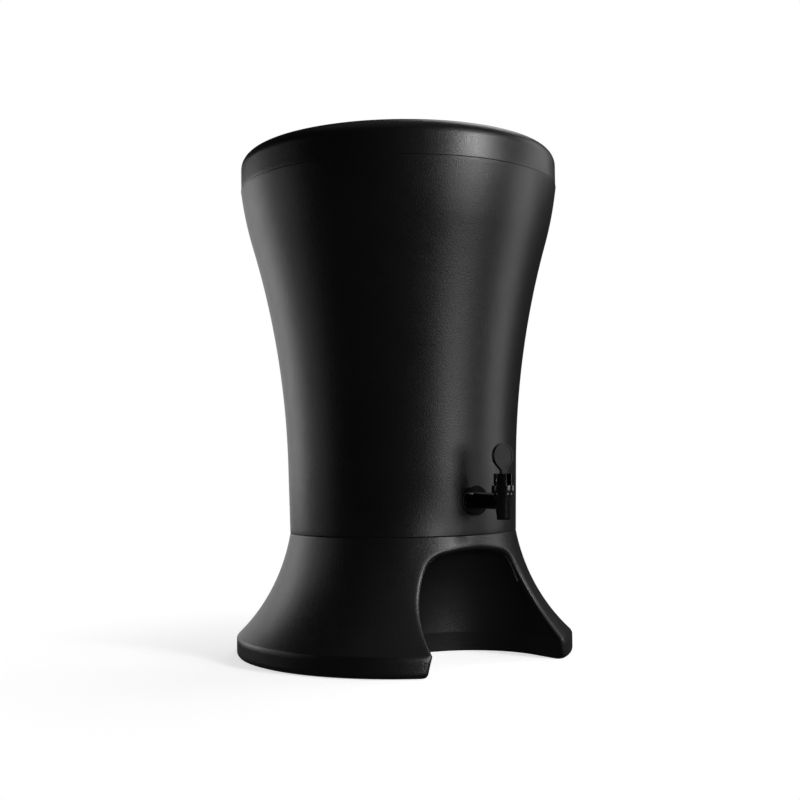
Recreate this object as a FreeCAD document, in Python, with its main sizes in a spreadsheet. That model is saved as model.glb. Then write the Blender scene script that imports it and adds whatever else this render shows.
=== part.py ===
import FreeCAD, Part

import math
import os

import Sketcher

# Gravity water filter: a tulip-shaped tub on a flared stand, a fired-clay filter pot
# hanging in the tub under the lid, and a lever tap over a niche for a glass.
# Frame: +Z up, origin on the floor at the centre of the stand, the tap points along -Y.

doc = FreeCAD.newDocument("water_filter")


class Size:
    """A number together with the spreadsheet expression that it comes from."""

    def __init__(self, value, text):
        self.value = value
        self.text = text

    def joined(self, sign, value, other):
        return Size(value, f"({self.text} {sign} {as_size(other).text})")

    def __add__(self, other):
        return self.joined("+", self.value + as_size(other).value, other)

    def __sub__(self, other):
        return self.joined("-", self.value - as_size(other).value, other)

    def __mul__(self, other):
        return self.joined("*", self.value * as_size(other).value, other)

    def __truediv__(self, other):
        return self.joined("/", self.value / as_size(other).value, other)

    def __neg__(self):
        return Size(-self.value, f"(-1 * {self.text})")


def as_size(number):
    """A plain number as a Size, or the Size itself."""
    return number if isinstance(number, Size) else Size(float(number), repr(float(number)))


def turned(length, angle):
    """The level and upright shares of a length that points an angle in degrees above level."""
    radians = math.radians(angle.value)
    level = Size(length.value * math.cos(radians), f"{length.text} * cos({angle.text} * 1 deg)")
    upright = Size(length.value * math.sin(radians), f"{length.text} * sin({angle.text} * 1 deg)")
    return level, upright


sheet = doc.addObject("Spreadsheet::Sheet", "sizes")
sheet_rows = 0


def size(alias, value, meaning):
    """Writes one driving dimension into the sheet and returns it."""
    global sheet_rows
    sheet_rows += 1
    sheet.set(f"A{sheet_rows}", meaning)
    sheet.set(f"B{sheet_rows}", str(value))
    sheet.setAlias(f"B{sheet_rows}", alias)
    return Size(float(value), f"sizes.{alias}")


# Stand
foot_radius = size("foot_radius", 188.0, "outside of the foot band")
band_height = size("band_height", 21.65, "upright band at the foot")
foot_edge_radius = size("foot_edge_radius", 6.0, "rounding of the foot's lower edge")
foot_flange = size("foot_flange", 12.0, "width of the turned-in foot")
stand_height = size("stand_height", 135.0, "floor to the stand's upper edge")
stand_top_radius = size("stand_top_radius", 127.5, "outside of the stand's upper edge")
flare_foot_reach = size("flare_foot_reach", 32.2, "inward pull of the flare's curve at its foot")
flare_foot_rise = size("flare_foot_rise", 30.1, "upward pull of the flare's curve at its foot")
flare_top_reach = size("flare_top_reach", 7.7, "outward pull of the flare's curve at its top")
flare_top_rise = size("flare_top_rise", 43.4, "downward pull of the flare's curve at its top")
stand_wall = size("stand_wall", 4.5, "wall of the stand")
socket_depth = size("socket_depth", 11.0, "socket for the tub's foot")
deck_wall = size("deck_wall", 5.0, "deck under the socket")
niche_half_width = size("niche_half_width", 86.0, "half of the niche at the floor")
niche_centre = size("niche_centre", 118.0, "stand axis to the centre of the niche's round back")
crown_half_width = size("crown_half_width", 40.0, "half of the niche's crown curve")
crown_drop = size("crown_drop", 4.3, "fall of the crown curve")
shoulder_half_width = size("shoulder_half_width", 57.8, "half of the niche at its shoulder")
shoulder_drop = size("shoulder_drop", 17.3, "fall of the niche's shoulder below its top")
leg_pull_out = size("leg_pull_out", 17.5, "outward pull of the niche's side below its shoulder")
leg_pull_down = size("leg_pull_down", 30.3, "downward pull of the niche's side below its shoulder")
foot_pull_in = size("foot_pull_in", 0.7, "inward pull of the niche's side at the floor")
foot_pull_up = size("foot_pull_up", 35.0, "upward pull of the niche's side at the floor")
cutting_margin = size("cutting_margin", 5.0, "how far forms run past the floor before they are cut off")

# Tub
tub_foot_radius = size("tub_foot_radius", 127.6, "outside of the tub at the seam on the stand")
tub_wall = size("tub_wall", 5.0, "wall of the tub")
waist_radius = size("waist_radius", 129.3, "outside of the tub where the flare begins")
waist_height = size("waist_height", 77.0, "seam to where the flare begins")
belly_inset = size("belly_inset", 13.0, "rim to the outside of the tub where the curve turns over")
belly_height = size("belly_height", 323.0, "seam to where the curve turns over")
rim_radius = size("rim_radius", 180.0, "outside of the tub's rim")
rim_height = size("rim_height", 386.8, "seam to the ledge that carries the lid")
rim_band = size("rim_band", 7.8, "straight band under the ledge")
rim_band_lean = size("rim_band_lean", 1.1, "how far the band leans out")
ledge_width = size("ledge_width", 23.0, "rim to the edge of the pot's opening")
socket_clearance = size("socket_clearance", 1.0, "tub's foot to the stand's socket, all round")
foot_gap = size("foot_gap", 0.5, "tub's foot above the deck")

# Lid
lid_inset = size("lid_inset", 0.5, "lid inside the tub's rim line")
lid_height = size("lid_height", 43.0, "lid's edge to its highest point")
lid_wall = size("lid_wall", 4.1, "wall of the lid")
lid_crown_inset = size("lid_crown_inset", 15.0, "lid's side to the edge of its crown")
lid_crown_drop = size("lid_crown_drop", 3.6, "fall of the crown towards its edge")
lid_side = size("lid_side", 23.0, "upright side of the lid")

# Filter pot
pot_rim_bearing = size("pot_rim_bearing", 11.0, "pot's rim over the edge of its opening")
pot_rim_height = size("pot_rim_height", 14.0, "thickness of the pot's rim")
pot_clearance = size("pot_clearance", 5.0, "pot to the edge of its opening, all round")
pot_depth = size("pot_depth", 240.0, "pot's bottom below its rim")
pot_foot_clearance = size("pot_foot_clearance", 12.3, "pot's foot to the tub's wall at its waist")
pot_wall = size("pot_wall", 13.0, "wall and bottom of the pot")
pot_edge_radius = size("pot_edge_radius", 16.0, "rounding of the pot's bottom edge")

# Tap, with heights and reaches from the crossing of its barrel and its spout
tap_height = size("tap_height", 36.3, "seam to the tap's barrel")
spout_reach = size("spout_reach", 46.6, "tub's wall to the spout's axis")
flange_radius = size("flange_radius", 15.8, "flange of the tap")
flange_thickness = size("flange_thickness", 2.4, "flange of the tap")
washer_thickness = size("washer_thickness", 1.3, "each washer at its middle")
washer_inset = size("washer_inset", 0.8, "washer inside the flange's edge")
shank_radius = size("shank_radius", 8.0, "threaded shank through the wall")
shank_length = size("shank_length", 22.0, "shank inside the tub's outer face")
shank_clearance = size("shank_clearance", 0.3, "shank to the hole in the wall, all round")
barrel_radius = size("barrel_radius", 8.5, "barrel between flange and spout")
waterway_radius = size("waterway_radius", 5.0, "bore of the barrel")
outlet_depth = size("outlet_depth", 18.7, "spout's mouth below the barrel's axis")
outlet_radius = size("outlet_radius", 7.0, "outside of the spout at its mouth")
outlet_bore = size("outlet_bore", 4.5, "bore of the spout")
shoulder_height = size("shoulder_height", 8.7, "spout's shoulder above the barrel's axis")
shoulder_radius = size("shoulder_radius", 10.0, "outside of the spout at its shoulder")
neck_radius = size("neck_radius", 8.9, "neck inside the bonnet")
neck_height = size("neck_height", 2.6, "neck above the shoulder")
chamber_radius = size("chamber_radius", 6.5, "valve chamber")
seat_depth = size("seat_depth", 7.8, "valve seat below the barrel's axis")
seat_slope = size("seat_slope", 1.5, "height of the seat's cone")
running_fit = size("running_fit", 0.1, "small gap between assembled pieces")
cup_flange = size("cup_flange", 1.5, "flange of the seat cup")
cup_wall = size("cup_wall", 1.2, "wall of the seat cup")
cup_plug = size("cup_plug", 3.0, "plug of the seat cup")
cup_clearance = size("cup_clearance", 0.9, "seat cup to the chamber's wall")
skirt_radius = size("skirt_radius", 12.1, "skirt of the bonnet")
skirt_height = size("skirt_height", 7.5, "skirt of the bonnet")
tower_radius = size("tower_radius", 9.75, "tower of the bonnet")
tower_height = size("tower_height", 12.0, "tower of the bonnet")
tower_wall = size("tower_wall", 2.0, "wall of the tower")
tower_roof = size("tower_roof", 1.4, "roof of the tower")
lever_width = size("lever_width", 5.8, "lever's foot across the slot")
slot_clearance = size("slot_clearance", 0.3, "lever to each side of its slot")
slot_back = size("slot_back", 2.9, "slot behind the spout's axis")
pivot_height = size("pivot_height", 5.5, "lever's pin above the skirt")
pin_radius = size("pin_radius", 1.3, "lever's pin")
pin_fit = size("pin_fit", 0.05, "pin to the lever's bore")
hub_radius = size("hub_radius", 3.4, "lever's hub")
nose_gap = size("nose_gap", 2.85, "centre of the lever's nose to the bonnet's bore")
nose_radius = size("nose_radius", 1.2, "tip of the lever's nose")
nose_width = size("nose_width", 3.6, "nose across the slot")
nose_angle = size("nose_angle", -30.0, "nose above level, in degrees, tap shut")
lever_thickness = size("lever_thickness", 4.3, "paddle from front to back")
lever_neck = size("lever_neck", 9.6, "pin to where the paddle widens")
paddle_radius = size("paddle_radius", 12.8, "round top of the paddle")
paddle_height = size("paddle_height", 37.5, "pin to the paddle's top")
paddle_rim = size("paddle_rim", 1.6, "raised rim round the paddle's face")
paddle_recess = size("paddle_recess", 0.6, "depth of the paddle's face")
stem_radius = size("stem_radius", 2.3, "valve stem")
button_radius = size("button_radius", 3.6, "button at the stem's foot")
button_height = size("button_height", 2.0, "button at the stem's foot")
yoke_half_width = size("yoke_half_width", 4.0, "half of the yoke that the nose lifts")
yoke_hub_gap = size("yoke_hub_gap", 0.4, "lever's hub to the yoke's upright")
yoke_bore_gap = size("yoke_bore_gap", 1.75, "back of the yoke to the bonnet's bore")
yoke_plate = size("yoke_plate", 1.4, "plate of the yoke, under and over the nose")
yoke_play = size("yoke_play", 0.6, "nose in the yoke's window, all round")
nut_radius = size("nut_radius", 14.5, "lock nut across its corners, halved")
nut_thickness = size("nut_thickness", 7.0, "lock nut")

# Heights and radii that follow from the sizes above
deck_top = stand_height - socket_depth
deck_underside = deck_top - deck_wall
spigot_radius = stand_top_radius - stand_wall - socket_clearance
tub_bottom = deck_top + foot_gap
waist = stand_height + waist_height
belly = stand_height + belly_height
belly_radius = rim_radius - belly_inset
ledge = stand_height + rim_height
pot_opening = rim_radius - ledge_width
pot_neck_radius = pot_opening - pot_clearance
pot_rim_radius = pot_opening + pot_rim_bearing
pot_foot_radius = waist_radius - tub_wall - pot_foot_clearance
lid_radius = rim_radius - lid_inset

# The tub's wall at the tap, on the straight cone between the seam and the waist
wall_slope = (waist_radius - tub_foot_radius) / waist_height
wall_at_tap = tub_foot_radius + wall_slope * tap_height
tap_z = stand_height + tap_height
spout_axis = wall_at_tap + spout_reach

# Heights in the tap's own frame
skirt_top = shoulder_height + skirt_height
tower_top = skirt_top + tower_height
pivot = skirt_top + pivot_height
neck_top = shoulder_height + neck_height
cup_top = neck_top + cup_flange
bonnet_bore = tower_radius - tower_wall
flange_face = spout_reach - washer_thickness - running_fit
nose_reach = bonnet_bore - nose_gap
nose_out, nose_up = turned(nose_reach, nose_angle)
yoke_near = hub_radius + yoke_hub_gap
yoke_far = bonnet_bore - yoke_bore_gap


# Drawing ------------------------------------------------------------------------------


def new_body(label):
    """An empty body with its label."""
    body = doc.addObject("PartDesign::Body", label)
    body.Label = label
    return body


def new_sketch(body, name, role):
    """A sketch on one of the body's own origin planes."""
    plane = next(item for item in body.Origin.OriginFeatures if item.Role == role)
    sketch = body.newObject("Sketcher::SketchObject", name)
    sketch.AttachmentSupport = [(plane, "")]
    sketch.MapMode = "FlatFace"
    doc.recompute()
    return sketch


def fix(sketch, kind, geometry, point, number):
    """Holds one coordinate of a point, on the sheet's value."""
    number = as_size(number)
    if number.value == 0:
        axis = -2 if kind == "DistanceX" else -1
        sketch.addConstraint(Sketcher.Constraint("PointOnObject", geometry, point, axis))
        return
    rule = Sketcher.Constraint(kind, -1, 1, geometry, point, number.value)
    sketch.setExpression(f"Constraints[{sketch.addConstraint(rule)}]", number.text)


def fix_point(sketch, geometry, point, corner):
    """Holds both coordinates of a point."""
    fix(sketch, "DistanceX", geometry, point, corner[0])
    fix(sketch, "DistanceY", geometry, point, corner[1])


def arc_through(centre, start, end, turns_left):
    """The arc of a circle from start to end, as the sketcher keeps it, and its end points' numbers."""
    first, last = (start, end) if turns_left else (end, start)
    angles = [math.atan2(spot.y - centre.y, spot.x - centre.x) for spot in (first, last)]
    circle = Part.Circle(centre, FreeCAD.Vector(0, 0, 1), (start - centre).Length)
    arc = Part.ArcOfCircle(circle, angles[0], angles[1])
    return arc, (1, 2) if turns_left else (2, 1)


def outline(sketch, start, steps, level_start=False):
    """Draws a closed outline from start.

    Each step is ("line", corner), ("arc", corner, radius, turns_left), ("blend", corner),
    an arc that leaves the step before it without a kink, or ("curve", corner, pulls), a
    cubic curve shaped by its two inner poles.
    With level_start the first blend leaves the upright axis at a right angle.
    """
    here = FreeCAD.Vector(as_size(start[0]).value, as_size(start[1]).value, 0)
    first = here
    heading = FreeCAD.Vector(1, 0, 0)
    before = None
    for count, step in enumerate(steps):
        corner = [as_size(number) for number in step[1]]
        there = FreeCAD.Vector(corner[0].value, corner[1].value, 0)
        chord = there - here
        closes = count == len(steps) - 1
        if step[0] == "line":
            shape, ends = Part.LineSegment(here, there), (1, 2)
            heading = chord
        elif step[0] == "arc":
            radius, turns_left = as_size(step[2]), step[3]
            side = FreeCAD.Vector(-chord.y, chord.x, 0).normalize() * (1 if turns_left else -1)
            middle = (here + there) * 0.5
            centre = middle + side * math.sqrt(radius.value ** 2 - chord.Length ** 2 / 4)
            shape, ends = arc_through(centre, here, there, turns_left)
        elif step[0] == "curve":
            pulls = [FreeCAD.Vector(pull[0].value, pull[1].value, 0) for pull in step[2]]
            shape, ends = Part.BSplineCurve([here, *pulls, there], None, None, False, 3), (1, 2)
        else:
            side = FreeCAD.Vector(-heading.y, heading.x, 0).normalize()
            reach = chord.Length ** 2 / (2 * chord.dot(side))
            centre = here + side * reach
            turns_left = reach > 0
            shape, ends = arc_through(centre, here, there, turns_left)
        if step[0] in ("arc", "blend"):
            spoke = there - centre
            heading = FreeCAD.Vector(-spoke.y, spoke.x, 0) * (1 if turns_left else -1)
        index = sketch.addGeometry(shape, False)
        if before is None:
            fix_point(sketch, index, ends[0], start)
            opening = (index, ends[0])
            if level_start:
                sketch.addConstraint(Sketcher.Constraint("PointOnObject", index, 3, -2))
        elif step[0] == "blend":
            sketch.addConstraint(Sketcher.Constraint("Tangent", before[0], before[1], index, ends[0]))
        else:
            sketch.addConstraint(Sketcher.Constraint("Coincident", before[0], before[1], index, ends[0]))
        if step[0] == "arc":
            rule = sketch.addConstraint(Sketcher.Constraint("Radius", index, radius.value))
            sketch.setExpression(f"Constraints[{rule}]", radius.text)
        if step[0] == "curve":
            sketch.exposeInternalGeometry(index)
            for pole, pull in enumerate(step[2], start=index + 2):
                fix_point(sketch, pole, 3, pull)
        if closes:
            sketch.addConstraint(Sketcher.Constraint("Coincident", index, ends[1], *opening))
        else:
            fix_point(sketch, index, ends[1], corner)
        before = (index, ends[1])
        here = there
    if (here - first).Length > 1e-9:
        raise ValueError(f"{sketch.Name} doesn't close")
    doc.recompute()


def circle(sketch, across, up, radius):
    """Draws a full circle."""
    centre = FreeCAD.Vector(as_size(across).value, as_size(up).value, 0)
    index = sketch.addGeometry(Part.Circle(centre, FreeCAD.Vector(0, 0, 1), radius.value), False)
    fix_point(sketch, index, 3, (across, up))
    rule = sketch.addConstraint(Sketcher.Constraint("Radius", index, radius.value))
    sketch.setExpression(f"Constraints[{rule}]", radius.text)
    doc.recompute()


def box_outline(sketch, low, high):
    """Draws an upright rectangle between two corners."""
    corners = [(high[0], low[1]), high, (low[0], high[1]), low]
    outline(sketch, low, [("line", corner) for corner in corners])


def spun(body, name, sketch, axis="V_Axis", cuts=False, degrees=360.0):
    """Turns a sketch about one of its axes, to add material or to cut it away."""
    before = body.Shape.Volume if cuts else 0.0
    feature = body.newObject("PartDesign::Groove" if cuts else "PartDesign::Revolution", name)
    feature.Profile = sketch
    feature.ReferenceAxis = (sketch, [axis])
    feature.Angle = degrees
    doc.recompute()
    if cuts and body.Shape.Volume >= before:
        raise ValueError(f"{name} cuts nothing")
    return feature


def padded(body, name, sketch, length, midplane=False):
    """Raises a sketch into a plate or bar."""
    pad = body.newObject("PartDesign::Pad", name)
    pad.Profile = sketch
    pad.Midplane = midplane
    pad.setExpression("Length", as_size(length).text)
    doc.recompute()
    return pad


def pocketed(body, name, sketch, length, midplane=False, along_normal=False):
    """Cuts a sketch into the body, and checks that it did cut."""
    before = body.Shape.Volume
    pocket = body.newObject("PartDesign::Pocket", name)
    pocket.Profile = sketch
    pocket.Midplane = midplane
    pocket.Reversed = along_normal
    pocket.setExpression("Length", as_size(length).text)
    doc.recompute()
    if body.Shape.Volume >= before:
        raise ValueError(f"{name} cuts nothing")
    return pocket


def place(item, forward, up):
    """Moves a piece forward, towards -Y, and up."""
    item.setExpression("Placement.Base.y", f"-1 * {as_size(forward).text}")
    item.setExpression("Placement.Base.z", as_size(up).text)
    doc.recompute()


# Stand --------------------------------------------------------------------------------


def arch_steps(wall):
    """Half of the niche's outline from its crown down to the floor, moved out by a wall."""
    crown = deck_underside + wall
    crown_edge = (crown_half_width + wall / 4, crown - crown_drop)
    shoulder = (shoulder_half_width + wall, crown - shoulder_drop - wall / 2)
    half_width = niche_half_width + wall
    pulls = [
        (shoulder[0] + leg_pull_out, shoulder[1] - leg_pull_down),
        (half_width - foot_pull_in, foot_pull_up),
    ]
    return (0, crown), [
        ("blend", crown_edge),
        ("blend", shoulder),
        ("curve", (half_width, 0), pulls),
        ("line", (half_width, -cutting_margin)),
        ("line", (0, -cutting_margin)),
        ("line", (0, crown)),
    ]


def niche_form(label, wall):
    """An arched form with a round back, open towards -Y: the niche itself, or that plus its wall."""
    body = new_body(label)
    start, steps = arch_steps(wall)
    half_sketch = new_sketch(body, label + "_half_arch", "XZ_Plane")
    outline(half_sketch, start, steps, level_start=True)
    half = padded(body, label + "_half_tunnel", half_sketch, foot_radius)
    other_half = body.newObject("PartDesign::Mirrored", label + "_whole_tunnel")
    other_half.Originals = [half]
    other_half.MirrorPlane = (half_sketch, ["V_Axis"])
    body.Tip = other_half
    doc.recompute()
    back_sketch = new_sketch(body, label + "_back_outline", "XZ_Plane")
    outline(back_sketch, start, steps, level_start=True)
    spun(body, label + "_back", back_sketch, degrees=180.0)
    place(body, niche_centre, 0)
    return body


def flare(inset, drop):
    """The stand's side from the crease up to its top edge, moved in by an inset."""
    crease = (foot_radius - inset, band_height - drop)
    top = (stand_top_radius - inset, stand_height)
    pulls = [
        (crease[0] - flare_foot_reach, crease[1] + flare_foot_rise),
        (top[0] + flare_top_reach, top[1] - flare_top_rise),
    ]
    return [("line", crease), ("curve", top, pulls)]


def stand_skin():
    """The flared skin with its foot flange and the deck that carries the tub."""
    body = new_body("stand_skin")
    outside = new_sketch(body, "stand_outside", "XZ_Plane")
    outline(outside, (0, 0), [
        ("line", (foot_radius - foot_edge_radius, 0)),
        ("arc", (foot_radius, foot_edge_radius), foot_edge_radius, True),
        *flare(0, 0),
        ("line", (0, stand_height)),
        ("line", (0, 0)),
    ])
    spun(body, "stand_form", outside)
    inside = new_sketch(body, "stand_inside", "XZ_Plane")
    inner_radius = foot_radius - stand_wall
    flange_edge = foot_radius - foot_flange
    outline(inside, (0, 0), [
        ("line", (flange_edge, 0)),
        ("line", (flange_edge, stand_wall)),
        ("line", (inner_radius, stand_wall)),
        *flare(stand_wall, stand_wall / 2),
        ("line", (0, stand_height)),
        ("line", (0, 0)),
    ])
    spun(body, "stand_hollow", inside, cuts=True)
    deck = new_sketch(body, "deck_outline", "XZ_Plane")
    box_outline(deck, (0, deck_underside), (stand_top_radius, deck_top))
    spun(body, "deck", deck)
    return body


def stand_core():
    """The solid of the stand's outside, drawn in to the middle of its wall and run past the floor."""
    body = new_body("stand_core")
    section = new_sketch(body, "core_outline", "XZ_Plane")
    inset = stand_wall / 2
    foot = foot_radius - foot_edge_radius - inset
    outline(section, (0, -cutting_margin), [
        ("line", (foot, -cutting_margin)),
        ("line", (foot, foot_edge_radius)),
        ("line", (foot_radius - inset, foot_edge_radius)),
        *flare(inset, inset / 2),
        ("line", (0, stand_height)),
        ("line", (0, -cutting_margin)),
    ])
    spun(body, "core", section)
    return body


def below_floor():
    """A slab under the floor that trims what runs past it."""
    slab = doc.addObject("Part::Cylinder", "below_floor")
    slab.setExpression("Radius", foot_radius.text)
    slab.setExpression("Height", (cutting_margin * 2).text)
    slab.setExpression("Placement.Base.z", (-cutting_margin * 2).text)
    return slab


def cut_away(name, solid, tool):
    """One solid with another cut out of it."""
    rest = doc.addObject("Part::Cut", name)
    rest.Base = solid
    rest.Tool = tool
    return rest


def make_stand():
    """The stand: the skin with its deck, joined to the niche's wall, with the niche cut out of both."""
    wall_form = doc.addObject("Part::Common", "niche_wall_form")
    wall_form.Base = niche_form("niche_wall", stand_wall)
    wall_form.Tool = stand_core()
    filled = doc.addObject("Part::Fuse", "stand_filled")
    filled.Base = stand_skin()
    filled.Tool = wall_form
    opened = cut_away("stand_opened", filled, niche_form("niche", Size(0, "0")))
    stand = cut_away("stand", opened, below_floor())
    doc.recompute()
    return stand


# Tub, lid and filter pot --------------------------------------------------------------


def tub_side(inset):
    """The tub's side from the waist up to the band under the ledge, moved in by an inset."""
    band_foot = (rim_radius - rim_band_lean - inset, ledge - rim_band)
    return [
        ("line", (waist_radius - inset, waist)),
        ("blend", (belly_radius - inset, belly)),
        ("blend", band_foot),
    ]


def make_tub():
    """The tub: its foot in the stand's socket, and a flat ledge that carries the pot and the lid."""
    body = new_body("tub")
    outside = new_sketch(body, "tub_outside", "XZ_Plane")
    outline(outside, (0, tub_bottom), [
        ("line", (spigot_radius, tub_bottom)),
        ("line", (spigot_radius, stand_height)),
        ("line", (tub_foot_radius, stand_height)),
        *tub_side(0),
        ("line", (rim_radius, ledge)),
        ("line", (0, ledge)),
        ("line", (0, tub_bottom)),
    ])
    spun(body, "tub_form", outside)
    inside = new_sketch(body, "tub_inside", "XZ_Plane")
    floor_radius = spigot_radius - tub_wall
    outline(inside, (0, tub_bottom + tub_wall), [
        ("line", (floor_radius, tub_bottom + tub_wall)),
        ("line", (floor_radius, stand_height)),
        ("line", (tub_foot_radius - tub_wall + wall_slope * tub_wall, stand_height + tub_wall)),
        *tub_side(tub_wall),
        ("line", (pot_opening, ledge - rim_band)),
        ("line", (pot_opening, ledge)),
        ("line", (0, ledge)),
        ("line", (0, tub_bottom + tub_wall)),
    ])
    spun(body, "tub_hollow", inside, cuts=True)
    hole = new_sketch(body, "tap_hole_outline", "XZ_Plane")
    circle(hole, 0, tap_z, shank_radius + shank_clearance)
    pocketed(body, "tap_hole", hole, rim_radius, along_normal=True)
    return body


def make_lid():
    """The lid: an upright side on the tub's ledge, a round shoulder and a shallow crown."""
    body = new_body("lid")
    top = ledge + lid_height

    def section(wall):
        crown_edge = (lid_radius - lid_crown_inset - wall / 2, top - lid_crown_drop - wall)
        return [
            ("blend", crown_edge),
            ("blend", (lid_radius - wall, ledge + lid_side)),
            ("line", (lid_radius - wall, ledge)),
            ("line", (0, ledge)),
            ("line", (0, top - wall)),
        ]

    outside = new_sketch(body, "lid_outside", "XZ_Plane")
    outline(outside, (0, top), section(Size(0, "0")), level_start=True)
    spun(body, "lid_form", outside)
    inside = new_sketch(body, "lid_inside", "XZ_Plane")
    outline(inside, (0, top - lid_wall), section(lid_wall), level_start=True)
    spun(body, "lid_hollow", inside, cuts=True)
    return body


def make_filter_pot():
    """The fired-clay pot, hung by its rim from the tub's ledge."""
    body = new_body("filter_pot")
    section = new_sketch(body, "pot_section", "XZ_Plane")
    bottom = ledge - pot_depth
    foot = pot_foot_radius
    rim_top = ledge + pot_rim_height
    inner_edge = pot_edge_radius - pot_wall / 2
    outline(section, (0, bottom), [
        ("line", (foot - pot_edge_radius, bottom)),
        ("arc", (foot, bottom + pot_edge_radius), pot_edge_radius, True),
        ("line", (pot_neck_radius, ledge)),
        ("line", (pot_rim_radius, ledge)),
        ("line", (pot_rim_radius, rim_top)),
        ("line", (pot_neck_radius - pot_wall, rim_top)),
        ("line", (foot - pot_wall, bottom + pot_wall + inner_edge)),
        ("arc", (foot - pot_wall - inner_edge, bottom + pot_wall), inner_edge, False),
        ("line", (0, bottom + pot_wall)),
        ("line", (0, bottom)),
    ])
    spun(body, "pot", section)
    return body


# Tap ----------------------------------------------------------------------------------


def make_tap_body():
    """The tap's moulded body: spout, barrel, flange and the shank through the tub's wall."""
    body = new_body("tap_body")
    column = new_sketch(body, "column_outline", "YZ_Plane")
    outline(column, (0, -outlet_depth), [
        ("line", (outlet_radius, -outlet_depth)),
        ("line", (shoulder_radius, shoulder_height)),
        ("line", (neck_radius, shoulder_height)),
        ("line", (neck_radius, neck_top)),
        ("line", (0, neck_top)),
        ("line", (0, -outlet_depth)),
    ])
    spun(body, "column", column)
    barrel = new_sketch(body, "barrel_outline", "YZ_Plane")
    shank_end = spout_reach + shank_length
    outline(barrel, (0, 0), [
        ("line", (shank_end, 0)),
        ("line", (shank_end, shank_radius)),
        ("line", (flange_face, shank_radius)),
        ("line", (flange_face, flange_radius)),
        ("line", (flange_face - flange_thickness, flange_radius)),
        ("line", (flange_face - flange_thickness, barrel_radius)),
        ("line", (0, barrel_radius)),
        ("line", (0, 0)),
    ])
    spun(body, "barrel", barrel, axis="H_Axis")
    chamber = new_sketch(body, "chamber_outline", "YZ_Plane")
    outline(chamber, (0, -outlet_depth), [
        ("line", (outlet_bore, -outlet_depth)),
        ("line", (outlet_bore, -seat_depth - seat_slope)),
        ("line", (chamber_radius, -seat_depth)),
        ("line", (chamber_radius, neck_top)),
        ("line", (0, neck_top)),
        ("line", (0, -outlet_depth)),
    ])
    spun(body, "chamber", chamber, cuts=True)
    waterway = new_sketch(body, "waterway_outline", "YZ_Plane")
    box_outline(waterway, (0, 0), (shank_end, waterway_radius))
    spun(body, "waterway", waterway, axis="H_Axis", cuts=True)
    place(body, spout_axis, tap_z)
    return body


def make_tap_bonnet():
    """The bonnet screwed on the neck, with a slot for the lever and a hole for its pin."""
    body = new_body("tap_bonnet")
    section = new_sketch(body, "bonnet_section", "YZ_Plane")
    thread = neck_radius + running_fit
    outline(section, (thread, shoulder_height), [
        ("line", (skirt_radius, shoulder_height)),
        ("line", (skirt_radius, skirt_top)),
        ("line", (tower_radius, skirt_top)),
        ("line", (tower_radius, tower_top)),
        ("line", (0, tower_top)),
        ("line", (0, tower_top - tower_roof)),
        ("line", (bonnet_bore, tower_top - tower_roof)),
        ("line", (bonnet_bore, cup_top)),
        ("line", (thread, cup_top)),
        ("line", (thread, shoulder_height)),
    ])
    spun(body, "bonnet", section)
    slot = new_sketch(body, "slot_outline", "XZ_Plane")
    slot.setExpression("AttachmentOffset.Base.z", f"-1 * {slot_back.text}")
    half = lever_width / 2 + slot_clearance
    box_outline(slot, (-half, skirt_top), (half, tower_top))
    pocketed(body, "slot", slot, slot_back + tower_radius, along_normal=True)
    pin_hole = new_sketch(body, "pin_hole_outline", "YZ_Plane")
    circle(pin_hole, 0, pivot, pin_radius + pin_fit)
    pocketed(body, "pin_hole", pin_hole, tower_radius * 2, midplane=True)
    place(body, spout_axis, tap_z)
    return body


def make_seat_cup():
    """The soft seat cup: its flange clamped under the bonnet, its plug on the valve seat."""
    body = new_body("seat_cup")
    section = new_sketch(body, "cup_section", "YZ_Plane")
    outer = chamber_radius - cup_clearance
    inner = outer - cup_wall
    plug_top = cup_plug - seat_depth
    flange_top = cup_top - running_fit
    outline(section, (0, -seat_depth), [
        ("line", (outer, -seat_depth)),
        ("line", (outer, neck_top)),
        ("line", (neck_radius - running_fit, neck_top)),
        ("line", (neck_radius - running_fit, flange_top)),
        ("line", (inner, flange_top)),
        ("line", (inner, plug_top)),
        ("line", (0, plug_top)),
        ("line", (0, -seat_depth)),
    ])
    spun(body, "cup", section)
    place(body, spout_axis, tap_z)
    return body


def part_box(name, low, high):
    """A box between two corners of the tap's frame."""
    box = doc.addObject("Part::Box", name)
    for side, a, b in zip(("Length", "Width", "Height"), low, high):
        box.setExpression(side, (as_size(b) - a).text)
    for axis, a in zip("xyz", low):
        box.setExpression("Placement.Base." + axis, as_size(a).text)
    return box


def part_cylinder(name, radius, length, low):
    """An upright cylinder standing at a height of the tap's frame."""
    cylinder = doc.addObject("Part::Cylinder", name)
    cylinder.setExpression("Radius", radius.text)
    cylinder.setExpression("Height", length.text)
    cylinder.setExpression("Placement.Base.z", as_size(low).text)
    return cylinder


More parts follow.
